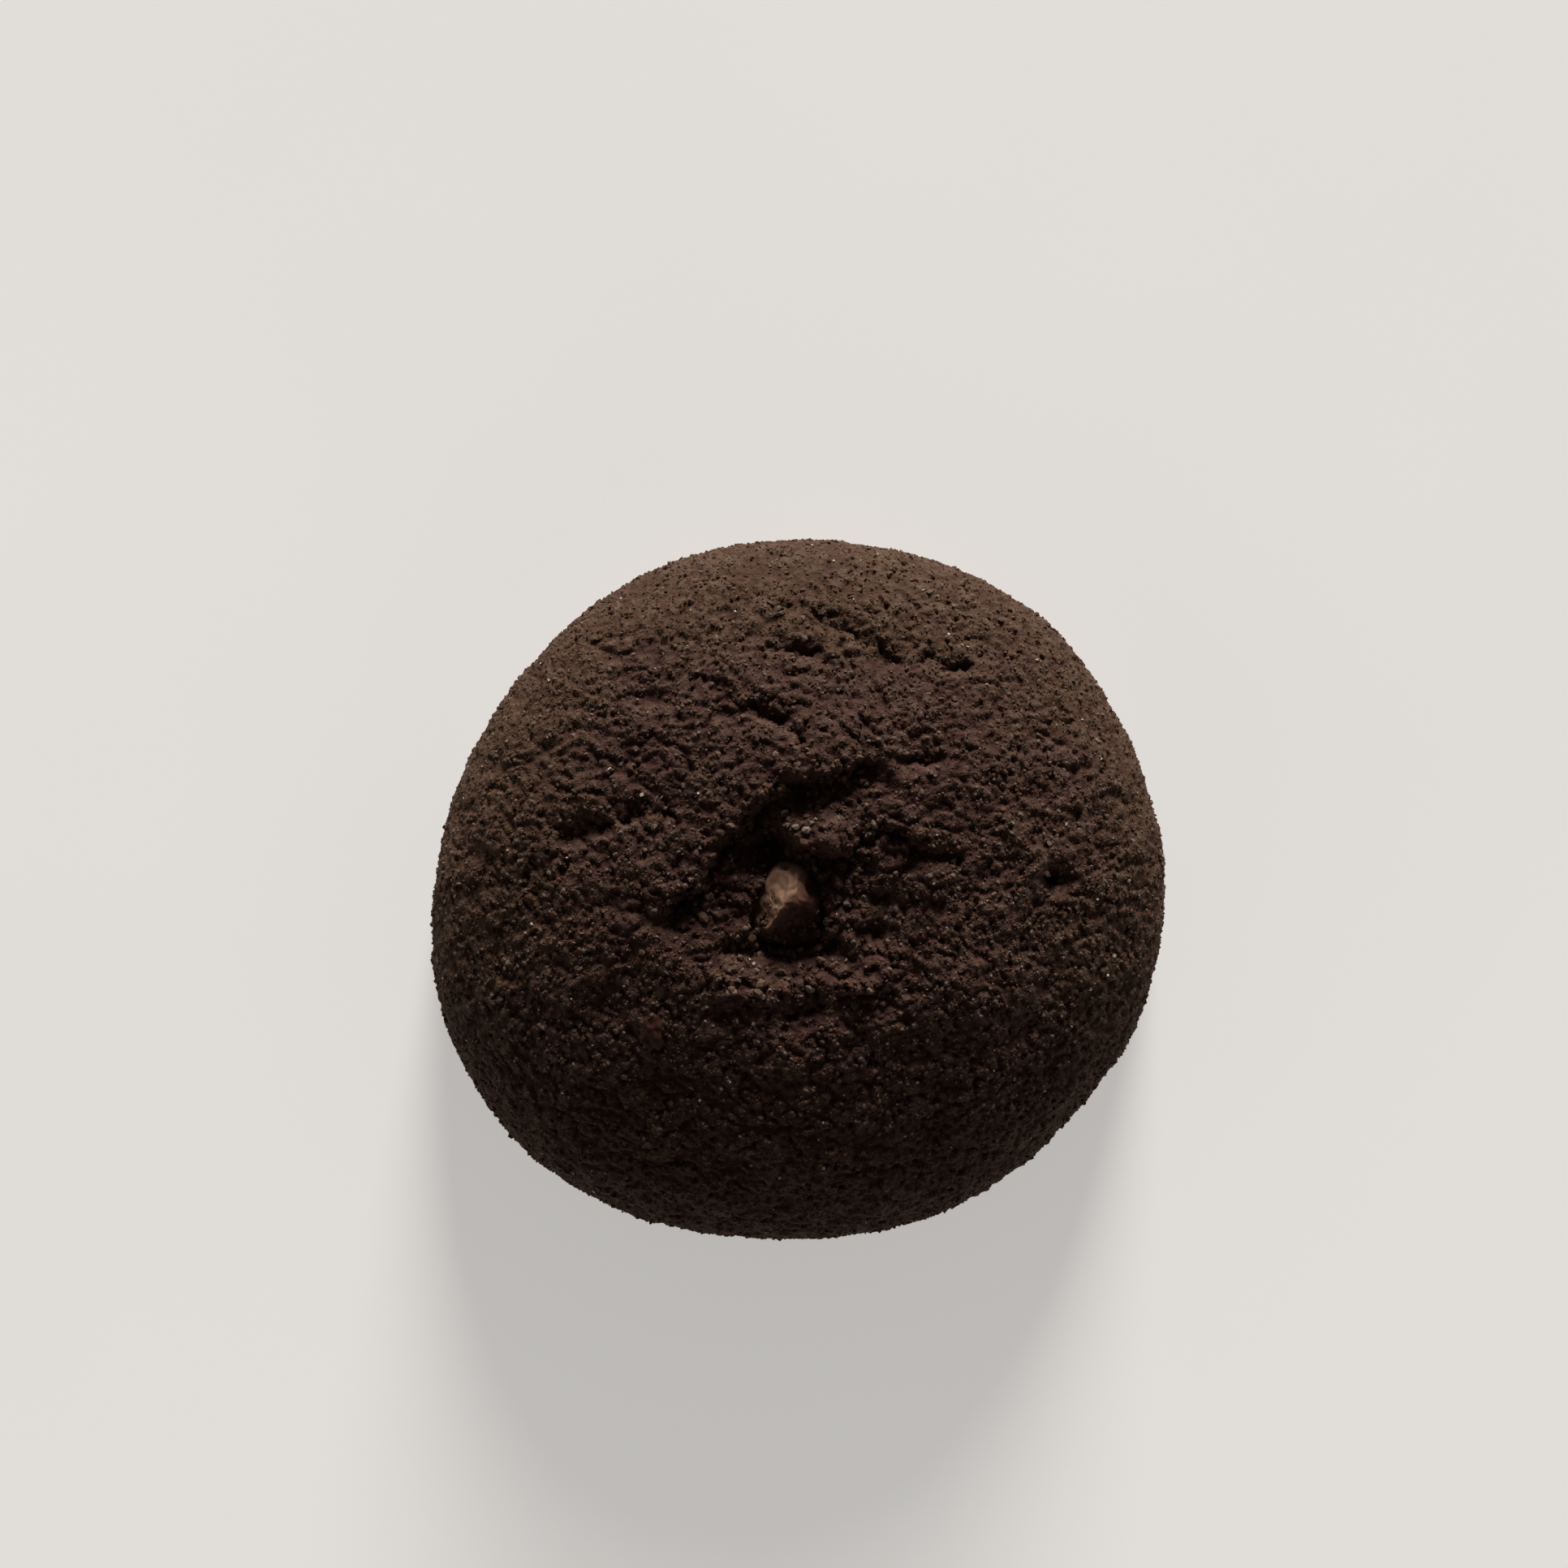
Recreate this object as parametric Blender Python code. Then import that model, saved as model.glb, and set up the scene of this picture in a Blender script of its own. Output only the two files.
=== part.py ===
# A thick round chocolate cookie: a cracked, domed body of dough that lies flat on its
# underside, and a chunk of milk chocolate sunk in the small crater at its middle.
# Metres, +Z up. The underside lies on z = 0 and the origin is under the middle of the outline.
# +X is the cookie's longer way across, and the long crack opens on the +Y side of the crater.

import math

import bmesh
import bpy
from mathutils import Vector, noise

MM = 0.001

# Body of the cookie
MEAN_RADIUS = 37.20 * MM       # of the widest line, seen from above
HEIGHT = 17.0 * MM             # crown of the smooth dome
WIDEST_Z = 3.3 * MM            # the widest line stands this high above the table
UNDERCUT = 1.6 * MM            # the flat underside stops this far inside the widest line
DOME_POWER = 2.3               # 2 is an ellipse; more is flatter on top and steeper at the side
TOP_EDGE = 1.25 * MM           # facet length on the dome and the side
BASE_EDGE = 3.6 * MM           # facet length on the flat underside, and below FLAT_BELOW
FLAT_BELOW = 0.5 * MM
CURVE_STEPS = 400              # steps of the section from the crown to the widest line

# The outline was shaped by hand, so it swells in a few lobes:
# how many lobes, how far they swell in mm, and the direction of one of them in degrees
OUTLINE_LOBES = (
    (1, 0.25, -131.0),
    (2, 0.93, 32.0),
    (3, 0.38, -27.0),
    (4, 0.19, 37.0),
    (5, 0.14, -5.0),
    (6, 0.17, -13.0),
)

# Uneven surface: wavelength in mm, height in mm, and where the pattern starts
SWELLS = (
    (17.0, 0.50, 3.1),
    (6.5, 0.24, 17.9),
    (3.3, 0.27, 41.3),
)
SIDE_SHARE = 0.55              # share of the relief that is left at the widest line
RELIEF_FADE = 4.0 * MM         # the full relief starts this far above it
WANDER = 0.7 * MM              # cracks stray this far from their drawn line
WANDER_LENGTH = 4.0 * MM
WANDER_START = Vector((9.0, 9.0, 9.0))  # the sideways pattern starts here

# Round hollows (negative) and knobs (positive): x, y, radius, height, all in mm
SPOTS = (
    (-0.8, 1.0, 6.8, -1.5),    # crater round the chocolate
    (-3.1, 6.6, 2.0, -3.2),    # deep hollow behind the chocolate
    (0.9, 9.0, 1.9, 1.2),      # knob of dough beside that hollow, in two lumps
    (3.2, 8.7, 1.6, 0.9),
    (0.2, 12.7, 1.4, -0.9),    # pockets in the long crack
    (-12.3, 1.0, 1.6, -0.5),
    (8.6, 2.3, 1.3, -0.7),     # hollows to the right of the chocolate
    (7.5, -1.3, 1.5, -0.7),
    (25.2, 3.9, 1.0, -1.2),    # pinhole
    (-20.8, 9.2, 1.6, -0.7),   # star-shaped hole
    (-14.1, -10.3, 1.9, 0.5),  # dough over a small chip
    (16.5, -6.5, 4.2, 0.6),    # lump
    (10.0, 11.5, 4.5, 0.5),    # smooth lump beside the long crack
)

# Torn ledges: drop in mm, how far it is felt, and the points of the line, high side on the left
LEDGES = (
    (1.5, 5.0, (
        (-15.0, -0.4), (-11.9, 1.8), (-9.6, 3.8), (-8.2, 6.4), (-6.4, 9.3),
        (-3.4, 12.2), (-0.5, 13.9), (1.9, 14.4), (4.6, 15.0), (8.4, 16.8),
    )),
    (0.7, 3.0, (
        (-0.9, 7.9), (0.8, 7.1), (3.4, 6.8), (4.8, 7.3), (6.0, 8.8),
        (8.0, 9.4), (9.6, 9.2), (10.8, 7.6), (12.6, 6.6),
    )),
)
LEDGE_LOW_SHARE = 0.62         # share of the drop that goes down, the rest goes up
LEDGE_FACE = 0.9               # half width of the sloping face in mm

# Creases and ridges: half width in mm, height in mm, and the points of the line in mm
CREASES = (
    (1.5, -0.9, ((-9.0, -2.6), (-4.2, -3.0), (-0.5, -3.6), (2.6, -3.2), (5.4, -2.0))),
    (1.4, 0.6, ((-8.6, -7.3), (-4.6, -6.2), (-1.9, -6.6), (0.8, -5.5), (3.8, -3.9))),
    (1.4, 0.5, ((4.6, -6.8), (6.9, -5.7), (8.9, -4.3))),
    (1.5, -0.35, ((-9.5, -9.7), (-5.0, -8.5), (-1.0, -9.2), (3.2, -8.2))),
    (0.9, -0.4, ((10.4, 7.8), (12.6, 6.4), (16.4, 5.8))),
    (1.0, -0.45, ((1.0, 30.4), (5.5, 28.0), (10.6, 24.7))),
    (1.0, -0.4, ((-3.0, 27.0), (2.8, 26.2))),
    (1.0, -0.4, ((12.0, 25.7), (17.0, 24.5))),
    (1.0, -0.45, ((-5.2, 21.6), (-1.4, 19.2), (1.0, 16.8))),
    (1.0, -0.4, ((-18.0, 9.4), (-14.4, 11.3), (-11.0, 10.2))),
    (1.0, -0.4, ((-23.8, 7.8), (-20.7, 9.2), (-17.6, 8.6))),
    (1.0, -0.4, ((9.0, 15.3), (13.8, 16.3))),
)
LINE_END = 0.12                # creases and ledges fade out over this share of their length

# Chunk of chocolate
CHUNK_SIZE = Vector((7.0, 8.6, 5.4)) * MM
CHUNK_PLACE = Vector((-0.9, 1.5, 14.0)) * MM
CHUNK_TURN = math.radians(4.0)         # its longer way, from +Y towards +X
CHUNK_LEAN = math.radians(6.0)         # its top leans towards -Y
CHUNK_POWER = 2.7                      # 2 is an egg, more is a block with round edges
CHUNK_PLAN_POWER = 2.6                 # the same for its outline from above
CHUNK_TAPER = 0.16                     # share of its width lost at the top
CHUNK_NARROW = 0.26                    # share of its width lost towards +Y
CHUNK_UNEVEN = 0.09                    # height of its soft lumps, as a share
CHUNK_LUMPS = 1.6                      # how many lumps to its half width
CHUNK_LUMP_START = Vector((5.2, 1.3, 8.7))
CHUNK_FACETS = (26, 15)                # round it, and from top to bottom
# Flats broken off the block: the way each faces, and how far from the middle it lies, as a share
CHUNK_FLATS = (
    (-0.40, 0.76, 0.51, 0.76),
    (0.56, 0.64, 0.53, 0.84),
    (-0.82, 0.20, 0.54, 0.76),
    (0.10, -0.62, 0.78, 0.80),
    (0.97, -0.05, 0.24, 0.90),
)
GAP = 0.32 * MM                        # between the chunk and its pocket

# Looks of the plain solids: colour, roughness
DOUGH_LOOK = ((0.075, 0.046, 0.033, 1.0), 0.88)
CHOCOLATE_LOOK = ((0.17, 0.10, 0.068, 1.0), 0.55)


def clear_scene():
    for item in list(bpy.data.objects):
        bpy.data.objects.remove(item, do_unlink=True)


def smooth_step(value):
    value = min(1.0, max(0.0, value))
    return value * value * (3.0 - 2.0 * value)


# Radius of the widest line in one direction, seen from above
def outline_radius(angle):
    swell = sum(
        height * MM * math.cos(lobes * (angle - math.radians(direction)))
        for lobes, height, direction in OUTLINE_LOBES
    )
    return MEAN_RADIUS + swell


# The mean section of the cookie, as (radius, z), from the crown over the side to the foot
def section_curve():
    curve = []
    for i in range(CURVE_STEPS + 1):
        share = math.sin(0.5 * math.pi * i / CURVE_STEPS)
        rise = (1.0 - share ** DOME_POWER) ** 0.5
        curve.append((MEAN_RADIUS * share, WIDEST_Z + (HEIGHT - WIDEST_Z) * rise))
    foot_steps = CURVE_STEPS // 4
    for i in range(1, foot_steps + 1):
        turn = 0.5 * math.pi * i / foot_steps
        curve.append((MEAN_RADIUS - UNDERCUT * (1.0 - math.cos(turn)), WIDEST_Z * (1.0 - math.sin(turn))))
    return curve


# Points at equal steps along that section, each with the way its surface faces
def section_rings():
    curve = section_curve()
    lengths = [0.0]
    for (r0, z0), (r1, z1) in zip(curve, curve[1:]):
        lengths.append(lengths[-1] + math.hypot(r1 - r0, z1 - z0))
    count = round(lengths[-1] / TOP_EDGE)
    rings = []
    at = 0
    for step in range(1, count + 1):
        goal = lengths[-1] * step / count
        while at < len(lengths) - 2 and lengths[at + 1] < goal:
            at += 1
        (r0, z0), (r1, z1) = curve[at], curve[at + 1]
        share = (goal - lengths[at]) / (lengths[at + 1] - lengths[at])
        along = Vector((r1 - r0, z1 - z0)).normalized()
        rings.append((r0 + (r1 - r0) * share, z0 + (z1 - z0) * share, -along.y, along.x))
    return rings


# Distance in plan from a point to a line drawn through several points, positive on the line's
# left, and the share of the line's length at which it comes nearest
def place_on_line(x, y, points):
    lengths = [math.dist(a, b) for a, b in zip(points, points[1:])]
    passed = 0.0
    best = math.inf
    share_along = 0.0
    for (ax, ay), (bx, by), length in zip(points, points[1:], lengths):
        dx, dy = bx - ax, by - ay
        share = ((x - ax) * dx + (y - ay) * dy) / (length * length)
        share = min(1.0, max(0.0, share))
        away_x, away_y = x - ax - dx * share, y - ay - dy * share
        away = math.hypot(away_x, away_y)
        if away < abs(best):
            best = math.copysign(away, dx * away_y - dy * away_x)
            share_along = (passed + share * length) / sum(lengths)
        passed += length
    return best, share_along


# Lines fade in and out over the last stretch at each end
def fade_along(share):
    return smooth_step(share / LINE_END) * smooth_step((1.0 - share) / LINE_END)


# Height of the relief above the smooth surface at a point
def relief(point):
    height = 0.0
    for length, rise, start in SWELLS:
        height += rise * noise.noise(point / (length * MM) + Vector((start, start, start)))
    strayed = point / WANDER_LENGTH
    x = (point.x + WANDER * noise.noise(strayed)) / MM
    y = (point.y + WANDER * noise.noise(strayed + WANDER_START)) / MM
    for spot_x, spot_y, radius, rise in SPOTS:
        height += rise * math.exp(-((x - spot_x) ** 2 + (y - spot_y) ** 2) / radius ** 2)
    for drop, reach, points in LEDGES:
        away, along = place_on_line(x, y, points)
        level = smooth_step(0.5 + 0.5 * away / LEDGE_FACE) - LEDGE_LOW_SHARE
        height += drop * level * math.exp(-((away / reach) ** 2)) * fade_along(along)
    for width, rise, points in CREASES:
        away, along = place_on_line(x, y, points)
        height += rise * math.exp(-((away / width) ** 2)) * fade_along(along)
    return height * MM


# One point of the body: on the smooth section, moved out or in by the relief
def body_point(angle, ring):
    radius, z, out, up = ring
    reach = radius / MEAN_RADIUS * outline_radius(angle)
    point = Vector((reach * math.cos(angle), reach * math.sin(angle), z))
    facing = Vector((out * math.cos(angle), out * math.sin(angle), up))
    share = SIDE_SHARE + (1.0 - SIDE_SHARE) * smooth_step((z - WIDEST_Z) / RELIEF_FADE)
    share *= smooth_step(z / WIDEST_Z)
    return point + facing * relief(point) * share


# A closed ring of points, with as many as its length needs
def add_ring(mesh, ring, edge, stagger):
    count = max(6, round(2.0 * math.pi * ring[0] / edge))
    return [mesh.verts.new(body_point(2.0 * math.pi * (i + stagger) / count, ring)) for i in range(count)]


# Triangles between two rings that may differ in their number of points
def stitch(mesh, first, second):
    i = j = 0
    while i < len(first) or j < len(second):
        a = first[i % len(first)]
        b = second[j % len(second)]
        if i >= len(first) or (j < len(second) and (j + 1) / len(second) <= (i + 1) / len(first)):
            j += 1
            mesh.faces.new((a, b, second[j % len(second)]))
        else:
            i += 1
            mesh.faces.new((a, b, first[i % len(first)]))


# A fan that closes the smallest ring
def close_ring(mesh, ring, centre, facing_up):
    middle = mesh.verts.new(centre)
    for a, b in zip(ring, ring[1:] + ring[:1]):
        mesh.faces.new((middle, a, b) if facing_up else (middle, b, a))


def finish_object(mesh, name):
    data = bpy.data.meshes.new(name)
    mesh.to_mesh(data)
    mesh.free()
    data.shade_smooth()
    item = bpy.data.objects.new(name, data)
    bpy.context.collection.objects.link(item)
    return item


def make_material(name, look):
    colour, roughness = look
    material = bpy.data.materials.new(name)
    material.use_nodes = True
    shader = material.node_tree.nodes["Principled BSDF"]
    shader.inputs["Base Color"].default_value = colour
    shader.inputs["Roughness"].default_value = roughness
    shader.inputs["Metallic"].default_value = 0.0
    material.diffuse_color = colour
    return material


def make_body():
    mesh = bmesh.new()
    rings = section_rings()
    foot = rings[-1][0]
    for step in range(1, int(foot / BASE_EDGE)):
        rings.append((foot - step * BASE_EDGE, 0.0, 0.0, -1.0))
    drawn = []
    for number, ring in enumerate(rings):
        edge = TOP_EDGE if ring[1] > FLAT_BELOW else BASE_EDGE
        drawn.append(add_ring(mesh, ring, edge, 0.5 * (number % 2)))
    close_ring(mesh, drawn[0], body_point(0.0, (0.0, HEIGHT, 0.0, 1.0)), True)
    for first, second in zip(drawn, drawn[1:]):
        stitch(mesh, first, second)
    close_ring(mesh, drawn[-1], Vector((0.0, 0.0, 0.0)), False)
    body = finish_object(mesh, "cookie")
    body.data.materials.append(make_material("dough", DOUGH_LOOK))
    return body


# The chunk's own form: a block with round edges that narrows upwards; grow widens it all round
def make_chunk_form(name, grow):
    mesh = bmesh.new()
    around, down = CHUNK_FACETS
    bmesh.ops.create_uvsphere(mesh, u_segments=around, v_segments=down, radius=1.0)
    for vert in mesh.verts:
        way = vert.co.normalized()
        plan = (abs(way.x) ** CHUNK_PLAN_POWER + abs(way.y) ** CHUNK_PLAN_POWER) ** (1.0 / CHUNK_PLAN_POWER)
        square = (plan ** CHUNK_POWER + abs(way.z) ** CHUNK_POWER) ** (-1.0 / CHUNK_POWER)
        girth = square * (1.0 - CHUNK_TAPER * smooth_step(way.z))
        uneven = 1.0 + CHUNK_UNEVEN * noise.noise(way * CHUNK_LUMPS + CHUNK_LUMP_START)
        width = girth * (1.0 - CHUNK_NARROW * way.y)
        form = Vector((way.x * width, way.y * girth, way.z * square)) * uneven
        for flat_x, flat_y, flat_z, distance in CHUNK_FLATS:
            facing = Vector((flat_x, flat_y, flat_z))
            form -= facing * max(0.0, form.dot(facing) - distance)
        vert.co = form * CHUNK_SIZE * 0.5 + way * grow
    chunk = finish_object(mesh, name)
    chunk.location = CHUNK_PLACE
    chunk.rotation_euler = (CHUNK_LEAN, 0.0, -CHUNK_TURN)
    return chunk


def cut_pocket(body):
    cutter = make_chunk_form("chunk_pocket", GAP)
    cutter.hide_render = True
    cutter.display_type = "WIRE"
    cut = body.modifiers.new("pocket", "BOOLEAN")
    cut.operation = "DIFFERENCE"
    cut.solver = "EXACT"
    cut.object = cutter


def main():
    clear_scene()
    body = make_body()
    chunk = make_chunk_form("chocolate_chunk", 0.0)
    chunk.data.materials.append(make_material("chocolate", CHOCOLATE_LOOK))
    cut_pocket(body)


main()
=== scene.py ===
import math

import bpy
import numpy as np
from mathutils import Matrix, Vector, noise
from mathutils.bvhtree import BVHTree


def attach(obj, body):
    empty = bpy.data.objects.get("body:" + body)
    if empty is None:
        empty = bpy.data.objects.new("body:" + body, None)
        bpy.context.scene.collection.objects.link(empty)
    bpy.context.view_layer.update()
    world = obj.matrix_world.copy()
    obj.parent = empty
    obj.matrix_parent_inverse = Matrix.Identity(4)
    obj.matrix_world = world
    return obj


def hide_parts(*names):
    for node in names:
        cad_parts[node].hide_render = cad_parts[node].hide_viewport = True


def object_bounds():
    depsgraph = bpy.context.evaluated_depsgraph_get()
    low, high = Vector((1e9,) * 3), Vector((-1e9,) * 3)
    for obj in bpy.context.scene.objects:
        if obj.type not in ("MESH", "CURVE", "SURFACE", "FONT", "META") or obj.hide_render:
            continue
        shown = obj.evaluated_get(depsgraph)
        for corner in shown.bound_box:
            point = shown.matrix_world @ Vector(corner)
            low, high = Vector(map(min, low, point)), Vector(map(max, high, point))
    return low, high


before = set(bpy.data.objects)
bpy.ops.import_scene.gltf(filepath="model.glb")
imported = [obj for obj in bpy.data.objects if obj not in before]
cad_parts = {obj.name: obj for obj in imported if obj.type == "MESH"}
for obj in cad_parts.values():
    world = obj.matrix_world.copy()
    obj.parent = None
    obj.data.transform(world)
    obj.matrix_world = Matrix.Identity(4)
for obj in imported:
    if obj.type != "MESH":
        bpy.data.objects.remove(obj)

mm = 0.001
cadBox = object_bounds()
print("frame loaded, the solids measure", [round((b - a) / mm, 1) for a, b in zip(*cadBox)], "mm")

rayStart = 30.0                  # mm, above everything
tiny = 1e-9                      # keeps a division from failing


# what every piece needs

def smoothStep(low, high, value):
    share = np.clip((value - low) / (high - low), 0.0, 1.0)
    return share * share * (3.0 - 2.0 * share)


def bell(away, half):  # 1 on a line and fading out on both sides
    return np.exp(-((away / half) ** 2))


def noiseAt(points, length, start=0.0):  # one soft noise value for each point
    return np.array([noise.noise(p) for p in (points / length + start).tolist()])


def noiseLayers(points, layers):  # soft noises added up, each with its wavelength, weight and start
    total = np.zeros(len(points))
    for length, weight, start in layers:
        total += weight * noiseAt(points, length, start)
    return total


def patchy(points, mean, swing, length, start, least, most):  # a value that varies from patch to patch
    return np.clip(mean + swing * noiseAt(points, length, start), least, most)


def cellsAt(points, length, start):  # distance to the nearest cell's middle, and how far its border is
    near = np.empty(len(points))
    border = np.empty(len(points))
    for i, p in enumerate((points / length + start).tolist()):
        first, second = noise.voronoi(p)[0][:2]
        near[i] = first
        border[i] = second - first
    return near, border


def dropOnto(tree, x, y):  # where a plumb line meets a surface from above, and the way it faces there
    return tree.ray_cast(Vector((x, y, rayStart)), Vector((0.0, 0.0, -1.0)))[:2]


def makePiece(name, verts, faces, material, values, smooth=True):
    mesh = bpy.data.meshes.new(name)
    mesh.from_pydata(verts.tolist(), [], faces.tolist())
    for label, numbers in values.items():
        layer = mesh.attributes.new(label, "FLOAT", "POINT")
        layer.data.foreach_set("value", np.asarray(numbers, dtype=np.float32))
    if smooth:
        mesh.shade_smooth()
    mesh.materials.append(material)
    piece = bpy.data.objects.new(name, mesh)
    bpy.context.scene.collection.objects.link(piece)
    return piece


# the body of dough: the same smooth form as the solid, with the crumb worked into it

dough = {
    "meanRadius": 37.20,         # mm, of the widest line seen from above
    "height": 17.0,              # crown of the smooth dome
    "widestZ": 3.3,
    "undercut": 1.6,
    "domePower": 2.3,
    "curveSteps": (1201, 301),   # points on the curves of the dome and of the foot
    "edge": 0.262,               # length of a facet on the dome and side
    "footEdge": 0.75,            # on the underside, below the height that follows
    "footBelow": 0.25,
    "flatBelow": 0.01,
    "ringLeast": 6,              # points in the smallest ring
    "lobes": (                   # how many, how far in mm, direction in degrees
        (1, 0.25, -131.0),
        (2, 0.93, 32.0),
        (3, 0.38, -27.0),
        (4, 0.19, 37.0),
        (5, 0.14, -5.0),
        (6, 0.17, -13.0),
    ),
    "swells": (                  # wavelength, height and start of each soft noise
        (17.0, 0.50, 3.1),
        (6.5, 0.24, 17.9),
        (3.3, 0.27, 41.3),
    ),
    "sideShare": 0.55,           # share of the relief left at the widest line
    "sideSpan": 4.0,             # height over which the rest of it comes in
    "wander": 0.7,               # cracks stray this far
    "wanderLength": 4.0,
    "wanderStart": 9.0,
    "spots": (                   # x, y, radius, height
        (-0.8, 1.0, 6.8, -1.5),      # crater round the chocolate
        (-3.1, 6.6, 2.0, -3.2),      # deep hollow behind it
        (0.9, 9.0, 1.9, 1.2),        # knob in two lumps
        (3.2, 8.7, 1.6, 0.9),
        (0.2, 12.7, 1.4, -0.9),      # pockets in the long crack
        (-12.3, 1.0, 1.6, -0.5),
        (8.6, 2.3, 1.3, -0.7),       # hollows to the right
        (7.5, -1.3, 1.5, -0.7),
        (25.2, 3.9, 1.0, -1.2),      # pinhole
        (-20.8, 9.2, 1.6, -0.7),     # star-shaped hole
        (-14.1, -10.3, 1.9, 0.5),    # dough over a small chip
        (16.5, -6.5, 4.2, 0.6),
        (10.0, 11.5, 4.5, 0.5),
    ),
    "tornSpot": 1.0,             # the dough is torn on spots higher or deeper than this
    "ledges": (                  # drop, how far it is felt, points of the line, high side on the left
        (1.5, 5.0, ((-15.0, -0.4), (-11.9, 1.8), (-9.6, 3.8), (-8.2, 6.4), (-6.4, 9.3),
                    (-3.4, 12.2), (-0.5, 13.9), (1.9, 14.4), (4.6, 15.0), (8.4, 16.8))),
        (0.7, 3.0, ((-0.9, 7.9), (0.8, 7.1), (3.4, 6.8), (4.8, 7.3), (6.0, 8.8),
                    (8.0, 9.4), (9.6, 9.2), (10.8, 7.6), (12.6, 6.6))),
    ),
    "lowShare": 0.62,            # share of a ledge's drop that goes down
    "ledgeFace": 0.6,            # half width of its sloping face
    "ledgeFoot": (0.7, 1.5),     # crack at its foot: distance, and width in widths of a crack
    "ledgeShade": (1.9, 1.6),    # painted shade below it: distance and half width
    "shadeDrop": 1.5,            # a ledge this high has all of that shade
    "ledgeTorn": (1.2, 2.2),     # torn dough below it: distance and half width
    "creases": (                 # half width, height, points of the line
        (1.5, -0.9, ((-9.0, -2.6), (-4.2, -3.0), (-0.5, -3.6), (2.6, -3.2), (5.4, -2.0))),
        (1.4, 0.35, ((-8.6, -7.3), (-4.6, -6.2), (-1.9, -6.6), (0.8, -5.5), (3.8, -3.9))),
        (1.4, 0.35, ((4.6, -6.8), (6.9, -5.7), (8.9, -4.3))),
        (1.5, -0.35, ((-9.5, -9.7), (-5.0, -8.5), (-1.0, -9.2), (3.2, -8.2))),
        (0.9, -0.4, ((10.4, 7.8), (12.6, 6.4), (16.4, 5.8))),
        (1.0, -0.45, ((1.0, 30.4), (5.5, 28.0), (10.6, 24.7))),
        (1.0, -0.4, ((-3.0, 27.0), (2.8, 26.2))),
        (1.0, -0.4, ((12.0, 25.7), (17.0, 24.5))),
        (1.0, -0.45, ((-5.2, 21.6), (-1.4, 19.2), (1.0, 16.8))),
        (1.0, -0.4, ((-18.0, 9.4), (-14.4, 11.3), (-11.0, 10.2))),
        (1.0, -0.4, ((-23.8, 7.8), (-20.7, 9.2), (-17.6, 8.6))),
        (1.0, -0.4, ((9.0, 15.3), (13.8, 16.3))),
    ),
    "lineEnd": 0.12,             # lines fade out over this share of their length
    "ragged": 0.70,              # how uneven the edges of a crack are
    "raggedNoise": ((1.3, 1.0, 5.0), (0.6, 0.7, 15.0)),
    "splitDepth": 0.80,          # how much deeper the torn middle of a crack goes
    "splitWidth": 0.30,
    "splitPatches": (0.6, 1.3, 2.6, 27.0, 0.1, 1.1),    # mean, swing, wavelength, start, least, most
    "widthPatches": (0.9, 0.8, 2.0, 33.0, 0.35, 1.6),
    "roughHeight": 0.50,         # torn dough is coarser
    "roughNoise": ((1.7, 1.0, 71.0), (0.85, 0.5, 73.0)),
    "crumb": {                   # the fine relief
        "bendLength": 0.9,       # soft noise that bends what follows
        "bendStarts": (1.0, 12.0, 23.0),
        "clumpSize": 1.05,
        "clumpHeight": 0.17,
        "clumpStart": 2.0,
        "clumpBend": 0.30,
        "clumpSteep": 2.8,
        "clumpTop": (1.05, 0.45),    # at a clump's middle, and what it loses a cell away
        "clumpMean": 0.55,
        "clefts": (              # short dark clefts: wavelength, half width, depth, start
            (2.6, 0.11, 0.38, 31.0),
            (1.5, 0.14, 0.22, 62.0),
        ),
        "cleftBend": 0.45,
        "cleftPatches": ((2.7, 1.0, 8.0), (1.2, 0.4, 19.0)),
        "cleftOpen": (-0.10, 0.25),
        "furrow": {              # creases that run across, mostly along X
            "length": 2.1,
            "start": 83.0,
            "stretch": 2.8,
            "turn": -10.0,       # degrees
            "half": 0.13,
            "depth": 0.34,
            "patchLength": 4.5,
            "patchStart": 91.0,
            "open": (-0.15, 0.25),
        },
        "pits": (                # small round holes: spacing, radius and depth
            (1.30, 0.44, 0.34),
            (0.85, 0.26, 0.20),
        ),
        "pitBend": 0.12,
        "pitStart": 40.0,
        "pitFloor": 0.35,        # share of the radius that is as deep as the middle
        "grainLength": 0.66,
        "grainHeight": 0.13,
        "grainStart": 51.0,
        "paleMean": 0.47,
        "paleClump": 0.35,       # painted light: clumps and grains are paler on top
        "paleGrain": 0.35,
        # painted shade in clefts, furrows and pits
        "dentShade": 1.5,
    },
    "crumbShare": (0.66, 0.39),  # fine relief on the side, and what is added at the crown
    "crumbRise": (4.0, 12.0),    # heights between which it is added
    "crumbFoot": 1.2,            # it begins below this height
    "crumbTorn": 0.6,            # more of it where the dough is torn
    "crackShade": 0.6,             # painted shade in the cracks: how much darker they are
    "darkShade": 0.2,            # painted shade below ledges
    "darkRough": 0.2,            # where it is torn
    "hollowShade": 0.2,             # painted shade in the crater and hollows
    "deepFrom": (0.8, 2.6),      # mm below the dome where that begins and is full
    "oliveZ": 12.5,              # more olive and paler below this height: partly the crust's own tone, partly painted sheen at the rim
    "oliveSpan": 6.0,
    "olivePatches": (9.0, 0.7, 55.0),
    "oliveTorn": 0.5,            # less of it where the dough is torn
    "footPits": 0.10,            # depth of the small pits of the underside
    "footNoise": ((2.2, 1.0, 3.0), (1.0, 0.5, 6.0)),
    "footShare": 0.1,
}


def outlineRadius(angle):
    radius = np.full_like(angle, dough["meanRadius"])
    for lobes, rise, direction in dough["lobes"]:
        radius += rise * np.cos(lobes * (angle - math.radians(direction)))
    return radius


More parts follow.
